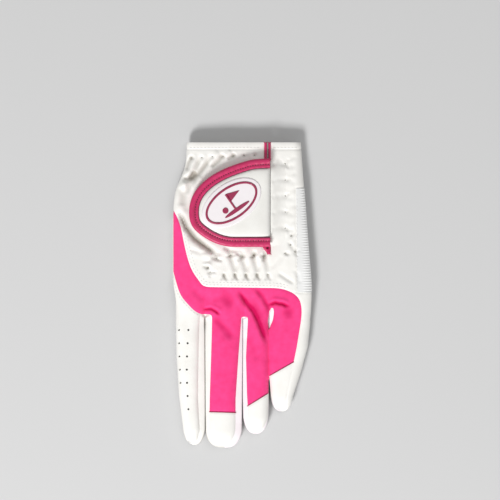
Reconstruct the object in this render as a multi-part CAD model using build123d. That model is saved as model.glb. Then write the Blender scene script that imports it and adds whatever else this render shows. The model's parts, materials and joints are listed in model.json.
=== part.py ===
"""Left-hand golf glove, lying flat with the back of the hand up and the thumb folded under the palm.

Millimetres. +Z is up, +Y points to the cuff, -Y to the fingertips, -X is the thumb side. The glove rests
on z = 0. The back of the hand is a level of leather and knit panels over an open hand cavity; the palm
panel arches over the folded thumb; each finger is a tube that hinges at the knuckle line.
"""

from build123d import *
from math import radians, sin
import os

os.makedirs("parts", exist_ok=True)

# Driving dimensions
SKIN = 0.7            # thickness of the leather and the knit
HAND_TOP = 10.5       # outer face of the back of the hand
FINGER_TOP = 9.0      # outer face of the backs of the fingers
PALM_RISE = 2.8       # underside of the palm over the folded thumb
CUFF_Y = 88.5         # cuff edge
KNUCKLE_Y = -15.0     # line about which the fingers flex
JOINT_GAP = 0.15      # half the gap between hand and finger at the knuckle line
THUMB_TOP = 2.4       # upper face of the folded thumb
HEM = 4.0             # width of the cuff hem
SIDE_WALL = 0.8       # thickness of the side walls
TAB_GAP = 0.3         # hook and loop stand this far apart
HOOK = 0.7            # thickness of the hook and loop patches
FOAM = 1.0            # padding in the closure tab
BADGE = 0.6           # each raised level of the badge
TAB_SEAM_X = 16.0     # sewn edge of the closure tab
SLIT_X = 14.6         # middle of the slit in the back of the wrist
SLIT_END_Y = 25.0     # lower end of the slit
FAR = 60.0            # longer than any panel, for cutting

PANEL_LOW = HAND_TOP - SKIN
FINGER_LOW = FINGER_TOP - SKIN
LOOP_TOP = HAND_TOP + HOOK
HOOK_LOW = LOOP_TOP + TAB_GAP
BACKING_LOW = HOOK_LOW + HOOK
FOAM_LOW = BACKING_LOW + SKIN
TAB_LOW = FOAM_LOW + FOAM
TAB_TOP = TAB_LOW + SKIN


def face(*edges):
    """Flat face inside edges and wires that meet end to end."""
    return make_face(Curve() + list(edges))


def slab(flat, low, high):
    """The flat face raised into a plate from height low to height high."""
    return extrude(Pos(0, 0, low) * flat, high - low, dir=(0, 0, 1))


def block(x0, x1, y0, y1, z0=-1.0, z1=FAR):
    """A box between its corners."""
    return Pos((x0 + x1) / 2, (y0 + y1) / 2, (z0 + z1) / 2) * Box(x1 - x0, y1 - y0, z1 - z0)


def save(name, shape):
    """One sub-part, one file."""
    solids = [s for s in shape.solids() if s.volume > 0.05]
    part = Compound(label=name, children=solids) if len(solids) > 1 else solids[0]
    export_step(part, f"parts/{name}.step")


# Hand outline -------------------------------------------------------------------------------------------

def hand_outline(inset, front=KNUCKLE_Y + JOINT_GAP, cuff=CUFF_Y):
    """Plan of the hand without its fingers, drawn in by inset at both sides."""
    heel = (-40.3 + inset, 43.5)
    thumb_web = (-40.3 + inset, 9.0)
    left_cuff = Spline((-32.5 + inset, cuff), (-33.5 + inset, 74.8), (-36.4 + inset, 67.0), heel,
                       tangents=((-0.05, -1), (0, -1)))
    left_side = Line(heel, thumb_web)
    left_front = Spline(thumb_web, (-39.0 + inset, -2.0), (-38.8 + inset, front),
                        tangents=((0, -1), (0, -1)))
    widest = (40.3 - inset, 1.0)
    right_front = Spline((39.4 - inset, front), widest, tangents=((0.1, 1), (0, 1)))
    right_cuff = Spline(widest, (39.4 - inset, 17.0), (37.8 - inset, 37.0), (34.0 - inset, cuff),
                        tangents=((0, 1), (-0.07, 1)))
    return face(left_cuff, left_side, left_front, Line(left_front @ 1, right_front @ 0), right_front,
                right_cuff, Line(right_cuff @ 1, left_cuff @ 0))


def palm_profile(lift):
    """Height of the palm along the hand: flat at both ends, risen over the thumb between them."""
    return [(CUFF_Y, lift), (CUFF_Y - 6.5, lift), (CUFF_Y - 24.0, PALM_RISE + lift),
            (2.0, PALM_RISE + lift), (-12.0, lift), (KNUCKLE_Y + JOINT_GAP, lift)]


def profile_solid(points):
    """A band across the whole hand whose section in the YZ plane is the closed outline of points."""
    section = make_face(Polyline(*[(0, y, z) for y, z in points], close=True))
    return extrude(section, FAR, dir=(1, 0, 0), both=True)


hand_plan = hand_outline(0)
palm_band = profile_solid(palm_profile(0) + palm_profile(SKIN)[::-1])
above_palm = profile_solid(palm_profile(SKIN) + [(KNUCKLE_Y + JOINT_GAP, FAR), (CUFF_Y, FAR)])
cuff_zone = block(-FAR, FAR, CUFF_Y - HEM, CUFF_Y + 1)

palm = slab(hand_plan, -1, 9) & palm_band
save("palm_panel", palm - cuff_zone)
save("cuff_hem_palm", palm & cuff_zone)

side_ring = (slab(hand_plan, 0, PANEL_LOW)
             - slab(hand_outline(SIDE_WALL, KNUCKLE_Y - 1, CUFF_Y + 1), -1, HAND_TOP)) & above_palm
save("thumb_side_wall", side_ring & block(-FAR, 0, -FAR, 2 * FAR))
save("little_side_wall", side_ring & block(0, FAR, -FAR, 2 * FAR))

# Back of the hand: one level of panels that meet edge to edge ---------------------------------------------

knit_arc = Spline((-42.0, 53.0), (-37.1, 43.5), (-34.8, 34.2), (-32.2, 22.6), (-28.7, 13.3), (-24.7, 7.5),
                  (-18.0, 4.6), tangents=((0.3, -1), (1, 0)))
knit_top = Line((-18.0, 4.6), (15.0, 4.1))
knit_shoulder = Spline((15.0, 4.1), (26.3, 2.5), (32.9, -2.6), (34.3, -9.7), (33.8, -16.0),
                       tangents=((1, 0), (-0.1, -1)))
knit_zone = slab(face(knit_arc, knit_top, knit_shoulder,
                      Polyline((33.8, -16.0), (-42.0, -16.0), (-42.0, 53.0))), 0, FAR)

overlay_edge = Spline((-41.0, 15.0), (-38.0, 5.4), (-35.4, -0.8), (-31.8, -5.2), (-28.7, -8.4),
                      (-22.5, -11.4))
overlay_back = Polyline((-22.5, -11.4), (-22.5, -16.0), (-41.0, -16.0), (-41.0, 15.0))
overlay_zone = slab(face(overlay_edge, overlay_back), 0, FAR)


def web_zone(left, right, spring_y, crown_x, crown_y, lean=0.0):
    """The arch at the top of a fourchette, between two fingers; its foot is lean nearer the thumb side."""
    arch = Spline((left, spring_y), (crown_x, crown_y), (right, spring_y), tangents=((0, 1), (0, -1)))
    foot = Polyline((right, spring_y), (right - lean, -15.0), (right - lean, -16.0),
                    (left - lean, -16.0), (left - lean, -15.0), (left, spring_y))
    return slab(face(arch, foot), 0, FAR)


webs = {
    "fourchette_web_index_middle": web_zone(-24.6, -17.8, -13.6, -21.0, -11.2),
    "fourchette_web_middle_ring": web_zone(-0.6, 2.9, -14.2, 1.2, -12.7),
    "fourchette_web_ring_little": web_zone(15.7, 18.1, -10.5, 17.2, -7.5, 0.7),
}

back = slab(hand_plan, PANEL_LOW, HAND_TOP)
knuckle_wall = above_palm & block(-FAR, FAR, KNUCKLE_Y, KNUCKLE_Y + JOINT_GAP + SIDE_WALL, 0, PANEL_LOW)
for name, zone in webs.items():
    save(name, (back & zone) + (zone & knuckle_wall))
    back -= zone

save("index_knuckle_overlay", back & overlay_zone)
save("back_knit_panel", (back & knit_zone) - overlay_zone)

elastic_plan = Polyline((31.8, 1.5), (50.0, 1.5), (50.0, 62.0), (31.0, 62.0), (31.8, 1.5))
elastic_zone = slab(face(elastic_plan), 0, FAR)
strip_zone = block(20.0, FAR, -FAR, 1.5)
binding_zone = (block(SLIT_X - 2.0, SLIT_X + 1.8, SLIT_END_Y + 2.0, CUFF_Y + 1)
                + slab(face(Polyline((11.2, 28.4), (SLIT_X + 1.8, 28.4), (SLIT_X + 1.8, 23.6),
                                     (SLIT_X, 23.6), (11.2, 28.4))), -1, FAR))
slit = block(SLIT_X - 0.4, SLIT_X + 0.4, SLIT_END_Y + 2.0, CUFF_Y + 1)

wrist = back - knit_zone - overlay_zone
save("side_elastic_strip", wrist & elastic_zone)
save("little_side_strip", (wrist - elastic_zone) & strip_zone)
wrist = wrist - elastic_zone - strip_zone
save("slit_binding", (wrist & binding_zone) - slit)
wrist -= binding_zone
save("cuff_hem_back", wrist & cuff_zone)
save("wrist_panel", wrist - cuff_zone)

# Elastic tapes sewn inside the back, under the shirring
TAPE_LOW = PANEL_LOW - 0.5
save("shirring_elastic", slab(Rectangle(36.0, 11.0).moved(Location((-1.5, 17.0))), TAPE_LOW, PANEL_LOW))
save("side_shirring_elastic", slab(Rectangle(8.0, 38.0).moved(Location((22.5, 43.0))), TAPE_LOW, PANEL_LOW))
save("wrist_elastic", slab(Rectangle(40.0, 7.0).moved(Location((-9.5, 79.0))), TAPE_LOW, PANEL_LOW))

# Closure ------------------------------------------------------------------------------------------------

save("loop_patch", slab(RectangleRounded(32.0, 25.0, 3.0).moved(Location((-9.0, 49.5))), HAND_TOP, LOOP_TOP))
save("tab_seam_welt", block(TAB_SEAM_X + 0.6, TAB_SEAM_X + 2.2, 28.0, 79.0, HAND_TOP, TAB_LOW))


def tab_outline(scale_in):
    """Plan of the closure tab: 0 gives its outer edge, 1 the inner edge of the binding."""
    low, high = 27.8 + 5.6 * scale_in, 79.2 - 5.4 * scale_in
    nose = (-31.2 + 5.7 * scale_in, 48.0)
    under = Spline((-4.3, low), (-18.9 + 3.2 * scale_in, 31.9 + 4.2 * scale_in),
                   (-27.6 + 5.2 * scale_in, 38.9 + 1.6 * scale_in), nose, tangents=((-1, 0), (0, 1)))
    over = Spline(nose, (-25.2 + 4.6 * scale_in, 63.2 - 3.3 * scale_in),
                  (-11.6 + 1.9 * scale_in, 72.5 - 5.0 * scale_in), (4.4, high - 1.2), (TAB_SEAM_X, high),
                  tangents=((0, 1), (1, 0.06)))
    return face(Line((TAB_SEAM_X, low), under @ 0), under, over, Line(over @ 1, (TAB_SEAM_X, low)))


tab_outer = tab_outline(0)
tab_inner = tab_outline(1)
save("tab_binding", slab(tab_outer, BACKING_LOW, TAB_TOP - 0.3) - slab(tab_inner, 0, FAR))
save("tab_backing", slab(tab_inner, BACKING_LOW, FOAM_LOW))
save("tab_padding", slab(tab_inner, FOAM_LOW, TAB_LOW))
save("tab_panel", slab(tab_inner, TAB_LOW, TAB_TOP))
hook_plan = RectangleRounded(22.0, 20.0, 3.0).moved(Location((-11.0, 49.5)))
save("hook_patch", slab(hook_plan, HOOK_LOW, BACKING_LOW))

# Oval badge on the tab: a raised base, a ring line and a generic flag and ball
BADGE_PLACE = Pos(-6.4, 53.4, 0) * Rot(0, 0, 35)
BADGE_TOP = TAB_TOP + BADGE
ring = Ellipse(17.2, 9.4) - Ellipse(15.8, 8.0)
pole = Pos(0, 0.6) * Rectangle(1.2, 11.0)
pennant = Polygon((0.5, 0.9), (0.5, 6.1), (8.2, 3.4), align=None)
green = Pos(0.6, -5.0) * Ellipse(8.6, 1.2)
ball = Pos(-5.4, -1.7) * Circle(1.8)
save("badge_base", BADGE_PLACE * slab(Ellipse(19.6, 11.8), TAB_TOP, BADGE_TOP))
save("badge_ring", BADGE_PLACE * slab(ring, BADGE_TOP, BADGE_TOP + BADGE))
save("badge_emblem", BADGE_PLACE * slab(pole + pennant + green + ball, BADGE_TOP, BADGE_TOP + BADGE))

# Thumb, folded flat under the palm ----------------------------------------------------------------------

THUMB_ROOT_X = -39.8


def thumb_outline(inset, root_x=THUMB_ROOT_X):
    """Plan of the thumb from its seam on the thumb side of the hand to its rounded tip."""
    upper = Spline((root_x, 45.0 - inset), (-26.0, 40.5 - inset), (-10.0, 29.5 - inset), (2.0, 24.0 - inset))
    tip = Spline((2.0, 24.0 - inset), (9.5 - inset, 14.5), (1.0, 5.0 + inset), tangents=(upper % 1, (-1, 0)))
    lower = Spline((1.0, 5.0 + inset), (-16.0, 6.0 + inset), (root_x, 8.0 + inset),
                   tangents=((-1, 0), (-1, 0.1)))
    return face(upper, tip, lower, Line(lower @ 1, upper @ 0))


thumb_plan = thumb_outline(0)
save("thumb_back_panel", slab(thumb_plan, 0, SKIN))
save("thumb_pad_panel", slab(thumb_plan, THUMB_TOP - SKIN, THUMB_TOP))
save("thumb_gusset", slab(thumb_plan, SKIN, THUMB_TOP - SKIN)
     - slab(thumb_outline(1.2, THUMB_ROOT_X - 5), 0, THUMB_TOP))

# Fingers --------------------------------------------------------------------------------------------------
# Each edge is a list of (x, y) from the knuckle line to where the tip starts to round. "top" is at the
# back of the finger and "low" at the palm; where they differ the side slopes, as a fourchette does.

FINGERS = {
    "index": {
        "left_low": [(-38.8, -15.0), (-38.4, -36.0), (-37.0, -58.0), (-34.4, -79.0)],
        "left_top": [(-38.3, -15.0), (-37.9, -36.0), (-36.5, -58.0), (-33.9, -79.0)],
        "right_top": [(-24.8, -15.0), (-25.3, -36.0), (-25.6, -60.0), (-24.6, -78.0)],
        "right_low": [(-22.1, -15.0), (-22.0, -36.0), (-21.8, -60.0), (-21.8, -78.0)],
        "tip": (-28.0, -87.0), "white_from": None,
        "sides": ("index_side_wrap", "index_fourchette"),
    },
    "middle": {
        "left_low": [(-21.6, -15.0), (-21.5, -36.0), (-21.3, -60.0), (-21.2, -79.0)],
        "left_top": [(-17.8, -15.0), (-18.4, -36.0), (-19.2, -60.0), (-19.4, -78.0)],
        "right_top": [(-0.6, -15.0), (-2.2, -36.0), (-3.8, -60.0), (-3.9, -78.0)],
        "right_low": [(-0.1, -15.0), (-0.1, -36.0), (-0.3, -60.0), (-0.6, -79.0)],
        "tip": (-11.5, -88.5), "white_from": ((-24.0, -67.6), (2.0, -68.4)),
        "sides": ("middle_fourchette_index_side", "middle_fourchette_ring_side"),
    },
    "ring": {
        "left_low": [(0.4, -15.0), (0.4, -36.0), (0.3, -58.0), (0.6, -71.0)],
        "left_top": [(2.9, -15.0), (1.8, -36.0), (2.4, -58.0), (3.2, -71.0)],
        "right_top": [(14.9, -15.0), (14.7, -36.0), (14.6, -58.0), (14.4, -71.0)],
        "right_low": [(15.0, -15.0), (15.0, -36.0), (15.0, -58.0), (14.8, -71.0)],
        "tip": (8.3, -80.5), "white_from": ((-2.0, -67.4), (19.0, -54.4)),
        "sides": ("ring_fourchette_middle_side", "ring_fourchette_little_side"),
    },
    "little": {
        "left_low": [(15.5, -15.0), (15.5, -30.0), (15.5, -45.0), (16.6, -59.0)],
        "left_top": [(17.2, -15.0), (15.8, -23.0), (15.6, -45.0), (17.0, -59.0)],
        "right_top": [(33.9, -15.0), (31.5, -30.0), (28.4, -45.0), (25.8, -59.0)],
        "right_low": [(39.4, -15.0), (37.9, -30.0), (33.8, -45.0), (29.2, -59.0)],
        "tip": (22.6, -67.5), "white_from": ((12.0, -48.9), (36.0, -35.2)),
        "sides": ("little_fourchette", "little_side_wrap"),
    },
}
TIP_INSET = 1.6       # the back of each tip ends this far short of the palm side
VENT_RADIUS = 0.65    # vent holes in two rows down the back of the index finger


def finger_outline(left, right, tip, inset, root_y):
    """Plan of a finger between its two edges, with a rounded tip."""
    down = [(x + inset, y) for x, y in left]
    down[0] = (down[0][0], root_y)
    up = [(x - inset, y) for x, y in reversed(right)]
    up[-1] = (up[-1][0], root_y)
    end = Spline(down[-1], (tip[0], tip[1] + inset), up[0], tangents=((0.15, -1), (0.15, 1)))
    return face(Polyline(*down), end, Polyline(*up), Line(up[-1], down[0]))


def finger_tube(finger, inset, root_y):
    """Solid between the palm and back skins of a finger, its sides sloped as the fourchettes are."""
    x, y = finger["tip"]
    low = finger_outline(finger["left_low"], finger["right_low"], (x, y), inset, root_y)
    top = finger_outline(finger["left_top"], finger["right_top"], (x, y + TIP_INSET), inset, root_y)
    return loft([Pos(0, 0, SKIN) * low, Pos(0, 0, FINGER_LOW) * top], ruled=True)


for finger_name, finger in FINGERS.items():
    root = KNUCKLE_Y - JOINT_GAP
    x_tip, y_tip = finger["tip"]
    palm_side = finger_outline(finger["left_low"], finger["right_low"], (x_tip, y_tip), 0, root)
    back_side = finger_outline(finger["left_top"], finger["right_top"], (x_tip, y_tip + TIP_INSET), 0, root)
    save(f"{finger_name}_palm_side_panel", slab(palm_side, 0, SKIN))

    back_plate = slab(back_side, FINGER_LOW, FINGER_TOP)
    if finger["white_from"]:
        (x0, y0), (x1, y1) = finger["white_from"]
        tip_zone = slab(face(Polyline((x0, y0), (x1, y1), (x1, -2 * FAR), (x0, -2 * FAR), (x0, y0))), 0, FAR)
        save(f"{finger_name}_tip_panel", back_plate & tip_zone)
        save(f"{finger_name}_back_knit", back_plate - tip_zone)
    else:
        outer = [(-36.9 + 0.055 * row ** 2, row) for row in range(5)]
        inner = [(-31.4 - 0.9 * sin(radians(30 * row)), row) for row in range(7)]
        vents = [Pos(x, -20.3 - 7.66 * row) * Circle(VENT_RADIUS) for x, row in outer + inner]
        save(f"{finger_name}_back_panel", back_plate - slab(Sketch() + vents, 0, FAR))

    walls = finger_tube(finger, 0, root) - finger_tube(finger, SIDE_WALL, root + 3)
    left_name, right_name = finger["sides"]
    left_zone = block(-FAR, x_tip, -2 * FAR, FAR)
    save(left_name, walls & left_zone)
    save(right_name, walls - left_zone)
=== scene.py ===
"""Looks of a left-hand golf glove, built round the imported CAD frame. Lengths are in millimetres until a mesh
is made, where MM turns them into metres. +Y is the cuff, -Y the fingertips, -X the thumb side, +Z up."""
import json
import math
import random

import bpy
import numpy as np
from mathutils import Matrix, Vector
from mathutils.geometry import delaunay_2d_cdt


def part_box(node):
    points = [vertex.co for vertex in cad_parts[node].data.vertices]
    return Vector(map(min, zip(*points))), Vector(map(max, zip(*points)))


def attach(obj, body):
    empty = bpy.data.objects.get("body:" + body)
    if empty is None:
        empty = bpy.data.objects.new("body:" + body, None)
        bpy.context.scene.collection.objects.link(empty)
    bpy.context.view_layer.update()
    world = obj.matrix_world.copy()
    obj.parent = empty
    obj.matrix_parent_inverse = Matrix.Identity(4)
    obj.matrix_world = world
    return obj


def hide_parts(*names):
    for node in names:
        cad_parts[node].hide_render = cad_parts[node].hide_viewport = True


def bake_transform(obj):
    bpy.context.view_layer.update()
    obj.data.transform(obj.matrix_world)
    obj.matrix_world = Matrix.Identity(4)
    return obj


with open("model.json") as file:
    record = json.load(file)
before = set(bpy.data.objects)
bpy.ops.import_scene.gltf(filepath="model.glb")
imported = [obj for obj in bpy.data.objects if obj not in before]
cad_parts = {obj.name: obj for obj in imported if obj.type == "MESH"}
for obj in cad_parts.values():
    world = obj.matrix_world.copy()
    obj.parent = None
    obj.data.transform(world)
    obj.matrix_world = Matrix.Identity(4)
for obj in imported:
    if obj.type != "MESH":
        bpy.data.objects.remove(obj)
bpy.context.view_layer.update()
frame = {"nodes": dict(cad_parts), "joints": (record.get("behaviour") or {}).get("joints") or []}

MM = 0.001
UP = np.array((0, 0, 1.0))
JOINTS = {joint["name"]: joint for joint in frame["joints"]}


def place(joint):
    """A joint's position."""
    return np.array(JOINTS[joint]["pos_m"]) * 1000


def box(node):
    """Lowest and highest corner of a CAD node."""
    low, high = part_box(node)
    return np.array(low) * 1000, np.array(high) * 1000


# Places taken from the frame
KNUCKLE_Y = box("palm_panel")[0][1]          # front edge of the hand, where the fingers start
CUFF_Y = box("cuff_hem_palm")[1][1]
HAND_TOP = box("back_knit_panel")[1][2]
FINGER_TOP = box("middle_back_knit")[1][2]
SKIN = HAND_TOP - box("back_knit_panel")[0][2]
PALM_RISE = box("palm_panel")[1][2] - SKIN
TAB_LOW = box("tab_backing")[0][2]
TAB_TOP = box("tab_panel")[1][2]
TAB_SEAM_X = box("tab_panel")[1][0]

# Depths and widths of the soft shapes
ROLL = 5.0            # plan width over which the back rolls down to the side seam
ARC = 0.84            # flat cloth used by a roll, for each radian of its turn and each mm of its width
SIDE_CROWN = 1.3      # how far the back falls from its middle to the start of the roll
FINGER_CROWN = 1.9    # how far the back of a finger falls from its middle to its seams
SEAM_EDGE = 1.7       # height of a finger's palm-side seam
TIP_TOP_ROUND = 8.0   # length over which the back of a finger comes down at its tip
TIP_LOW_ROUND = 6.0   # length over which the palm side of a finger goes up at its tip
TIP_HEIGHT = 4.4      # height where the two meet
GAP_CLOSE = 0.22      # how far a finger's palm-side edge moves out towards the next finger
TUCK = 0.32           # depth to which a panel's edge turns into its seam
TUCK_WIDTH = 1.1
NOWHERE = -1000.0     # y of a fingertip, for a panel that has none
FINGER_ROWS = 110
ARCH_ROWS = 12
THUMB_ROUND = 1.6     # plan width over which the folded thumb's faces turn to its edge seam
CROWN = 1.35          # how far the tab's padded face swells above the CAD face
CROWN_WIDTH = 6.5
SEAM_DROP = 1.5       # how far the padded face comes down to the tab's sewn seam
BADGE_LIFT = 0.55
BADGE_RIM = 0.5
DOME_DROP = 0.3       # how far the middle of the back lies below the top of the CAD plates
LITTLE_SPLIT = -23    # y below which the ring and little fingers' backs touch
LATE_TURN, EARLY_TURN = 26, 12               # how late a side strip turns down into its gap
STITCH_RINGS, STITCH_SIDES, CORD_SIDES = 5, 6, 8
VIEW_WIDTH = 0.290    # width of the camera's view in metres
CAMERA_PLACE = (0.00435, 0.0261, 0.8)


# Curves and outlines -----------

def stack(*parts):
    """Points from their coordinates."""
    return np.stack(np.broadcast_arrays(*parts), axis=-1)


def unit(vectors):
    """Vectors made one long."""
    return vectors / np.maximum(np.linalg.norm(vectors, axis=-1, keepdims=True), 1e-9)


def smooth(low, high, value):
    """0 below low, 1 above high, and a smooth step between them; low may be above high."""
    t = np.clip((np.asarray(value, float) - low) / (high - low), 0, 1)
    return t * t * (3 - 2 * t)


def round_over(distance, length):
    """0 at an edge, rising to 1 like a quarter circle at a distance of length."""
    return np.sqrt(np.clip(1 - (1 - np.clip(distance / length, 0, 1)) ** 2, 0, 1))


def travelled(path):
    """Distance along a path at each of its points."""
    return np.concatenate([[0], np.cumsum(np.linalg.norm(np.diff(path, axis=0), axis=1))])


def corners_of(node):
    """Vertices of a CAD node."""
    return np.array([v.co for v in frame["nodes"][node].data.vertices]).reshape(-1, 3) * 1000


def outline(node):
    """Plan of a CAD plate: the closed loops round its upper face, widest first."""
    places = corners_of(node)
    top = places[:, 2].max()
    key = [tuple(np.round(p[:2], 3)) for p in places]
    edges, after = {}, {}
    for polygon in frame["nodes"][node].data.polygons:
        corners = list(polygon.vertices)
        if min(places[c][2] for c in corners) > top - 0.01:
            edges.update({(key[a], key[b]): 1 for a, b in zip(corners, corners[1:] + corners[:1])})
    for a, b in edges:
        if (b, a) not in edges:
            after[a] = b
    loops = []
    while after:
        loop, here = [], next(iter(after))
        while here in after:
            loop.append(here)
            here = after.pop(here)
        loops.append(np.array(loop))
    return sorted(loops, key=lambda loop: np.ptp(loop, axis=0).sum(), reverse=True)


def evenly(points, spacing):
    """Points spaced evenly along a path, from its first to its last."""
    points = np.asarray(points, float)
    along = travelled(points)
    where = np.linspace(0, along[-1], max(2, int(round(along[-1] / spacing)) + 1))
    return stack(*(np.interp(where, along, column) for column in points.T))


def resample(path, spacing, closed=False):
    """Evenly spaced points along a path that keep its sharp corners."""
    points = np.asarray(path, float)
    if closed:
        points = np.vstack([points, points[:1]])
    steps = np.linalg.norm(np.diff(points, axis=0), axis=1)
    points = points[np.concatenate([[True], steps > 1e-4])]
    heading = np.diff(points, axis=0)
    turn = np.abs(np.angle(np.exp(1j * np.diff(np.arctan2(heading[:, 1], heading[:, 0])))))
    corners = [0] + [i + 1 for i, angle in enumerate(turn) if angle > 0.6] + [len(points) - 1]
    result = []
    for a, b in zip(corners, corners[1:]):
        result.extend(evenly(points[a:b + 1], spacing)[:-1])
    return np.array(result if closed else result + [points[-1]])


def plate(node, spacing, which=0):
    """One loop of a CAD plate's outline, evenly spaced."""
    return resample(outline(node)[which], spacing, closed=True)


def inside(loops, points):
    """Which of the points lie inside the first loop and outside the others, which are holes in it."""
    x, y = points[:, 0], points[:, 1]
    result = np.zeros(len(points), bool)
    for loop in loops:
        for (x0, y0), (x1, y1) in zip(loop, np.roll(loop, -1, axis=0)):
            if y0 != y1:
                result ^= ((y0 > y) != (y1 > y)) & (x < (x1 - x0) * (y - y0) / (y1 - y0) + x0)
    return result


def segment_distance(starts, ends, points):
    """Distance from each point to the nearest of some segments."""
    best = np.full(len(points), 1e9)
    for a, b in zip(starts, ends):
        d = b - a
        t = np.clip(((points - a) @ d) / max(d @ d, 1e-9), 0, 1)
        best = np.minimum(best, np.linalg.norm(points - a - t[:, None] * d, axis=1))
    return best


def edge_distance(path, points, closed=True):
    """Distance from each point to a path."""
    return segment_distance(path, np.roll(path, -1, axis=0) if closed else path[1:], points)


def seam_distance(loop, points):
    """Distance to a panel's sewn edge: the knuckle line is left out, for the cloth runs on there."""
    loop = resample(loop, 1.0, closed=True)
    ahead = np.roll(loop, -1, axis=0)
    sewn = np.abs(loop[:, 1] - KNUCKLE_Y) + np.abs(ahead[:, 1] - KNUCKLE_Y) > 0.1
    return segment_distance(loop[sewn], ahead[sewn], points)


def sides_of(nodes, at_y):
    """Lowest and highest x of some CAD nodes at each y."""
    low, high = np.full(len(at_y), 1e9), np.full(len(at_y), -1e9)
    for node in nodes:
        places = corners_of(node)
        for edge in frame["nodes"][node].data.edges:
            (x0, y0, _), (x1, y1, _) = places[list(edge.vertices)]
            if abs(y1 - y0) < 1e-6:
                continue
            t = (at_y - y0) / (y1 - y0)
            hit = (t >= 0) & (t <= 1)
            x = x0 + t * (x1 - x0)
            low = np.where(hit, np.minimum(low, x), low)
            high = np.where(hit, np.maximum(high, x), high)
    known = low < high
    return np.interp(at_y, at_y[known], low[known]), np.interp(at_y, at_y[known], high[known])


def shared_path(node, other):
    """The stretch of one CAD plate's outline that runs along another's, in order."""
    loop = plate(node, 0.5)
    near = edge_distance(outline(other)[0], loop) < 0.06
    first = next(i for i in range(len(loop)) if near[i] and not near[i - 1])
    return np.roll(loop, -first, axis=0)[:np.argmin(np.roll(near, -first))]


def offset_path(path, distance):
    """A plan path moved to its left by a distance."""
    run = unit(np.gradient(path, axis=0))
    return path + distance * stack(-run[:, 1], run[:, 0])


def between(start, end, share):
    """Rows of values that go from one column of values to another."""
    return start[:, None] + (end - start)[:, None] * share


# Mesh builders -----------------

def make_object(name, points, faces, material, flat=None, sharp=42.0, painted_shade=None):
    """A mesh object; flat is each point's place on the uncut cloth, and the optional shade values say how much
    shade is painted into each point's colour in a fold.
    """
    points = np.asarray(points)
    mesh = bpy.data.meshes.new(name)
    mesh.from_pydata((points * MM).tolist(), [], faces)
    mesh.update()
    mesh.shade_smooth()
    mesh.set_sharp_from_angle(angle=math.radians(sharp))
    spread = np.zeros((len(points), 3), np.float32)
    spread[:, :2] = points[:, :2] if flat is None else flat
    mesh.attributes.new("flat", "FLOAT_VECTOR", "POINT").data.foreach_set("vector", spread.ravel())
    # Painted shade: how dark each point's colour is made where it lies in a fold.
    if painted_shade is not None:
        depth = np.asarray(painted_shade, np.float32)
        mesh.attributes.new("painted_shade", "FLOAT", "POINT").data.foreach_set("value", depth)
    mesh.materials.append(material)
    result = bpy.data.objects.new(name, mesh)
    bpy.context.scene.collection.objects.link(result)
    return result


def sheet(name, outer, thickness, faces, material, flat, painted_shade=None):
    """A closed sheet of cloth: outer points with their faces, inner points, and a rim that joins the two."""
    size = len(outer)
    edges = {edge for face in faces for edge in zip(face, face[1:] + face[:1])}
    rim = [(b, a, a + size, b + size) for a, b in sorted(edges) if (b, a) not in edges]
    below = [tuple(corner + size for corner in (face[0], *face[:0:-1])) for face in faces]
    painted_shade = None if painted_shade is None else np.tile(np.ravel(painted_shade), 2)
    return make_object(name, np.vstack([outer, outer - thickness]), faces + below + rim, material,
                       np.vstack([flat, flat]), painted_shade=painted_shade)


def grid_normals(grid):
    """Unit normals of a grid, along (next column) x (next row)."""
    normal = np.cross(np.gradient(grid, axis=1), np.gradient(grid, axis=0))
    length = np.linalg.norm(normal, axis=2, keepdims=True)
    return np.where(length < 1e-6, UP, normal / np.maximum(length, 1e-6))


def grid_piece(name, grid, material, thick=SKIN, flat=None, turned=False, painted_shade=None):
    """A closed sheet of cloth from a grid of outer points, its thickness going inwards."""
    if turned:
        grid = grid[:, ::-1]
        flat = None if flat is None else flat[:, ::-1]
        painted_shade = None if painted_shade is None else painted_shade[:, ::-1]
    if flat is None:
        across = np.cumsum(np.linalg.norm(np.diff(grid, axis=1, prepend=grid[:, :1]), axis=2), axis=1)
        down = np.cumsum(np.linalg.norm(np.diff(grid, axis=0, prepend=grid[:1]), axis=2), axis=0)
        flat = stack(across, down)
    rows, columns = grid.shape[:2]
    starts = [r * columns + c for r in range(rows - 1) for c in range(columns - 1)]
    faces = [(a, a + 1, a + columns + 1, a + columns) for a in starts]
    inward = (grid_normals(grid) * thick).reshape(-1, 3)
    return sheet(name, grid.reshape(-1, 3), inward, faces, material, flat.reshape(-1, 2), painted_shade)


def panel_points(loops, spacing):
    """Triangles over the region inside the first loop and outside the others."""
    loops = [resample(loop, spacing, closed=True) for loop in loops]
    low, high = loops[0].min(0), loops[0].max(0)
    grid = []
    for i, y in enumerate(np.arange(low[1], high[1], spacing * 0.866)):
        grid.append(stack(np.arange(low[0] + (i % 2) * spacing / 2, high[0], spacing), y))
    grid = np.vstack(grid)
    grid = grid[inside(loops, grid)]
    for loop in loops:
        grid = grid[edge_distance(loop, grid) > spacing * 0.45]
    edges, start = [], 0
    for loop in loops:
        edges += [(start + i, start + (i + 1) % len(loop)) for i in range(len(loop))]
        start += len(loop)
    result = delaunay_2d_cdt([tuple(p) for p in np.vstack(loops + [grid])], edges, [], 0, 1e-5)
    points = np.array([tuple(p) for p in result[0]])
    triangles = np.array([f for f in result[2] if len(f) == 3])
    return points, triangles[inside(loops, points[triangles].mean(axis=1))]


def surface_normal(shape, s, y, step=0.05):
    """Unit normals of a shape at flat places."""
    east = shape(s + step, y) - shape(s - step, y)
    north = shape(s, y + step) - shape(s, y - step)
    return unit(np.cross(east, north))


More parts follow.
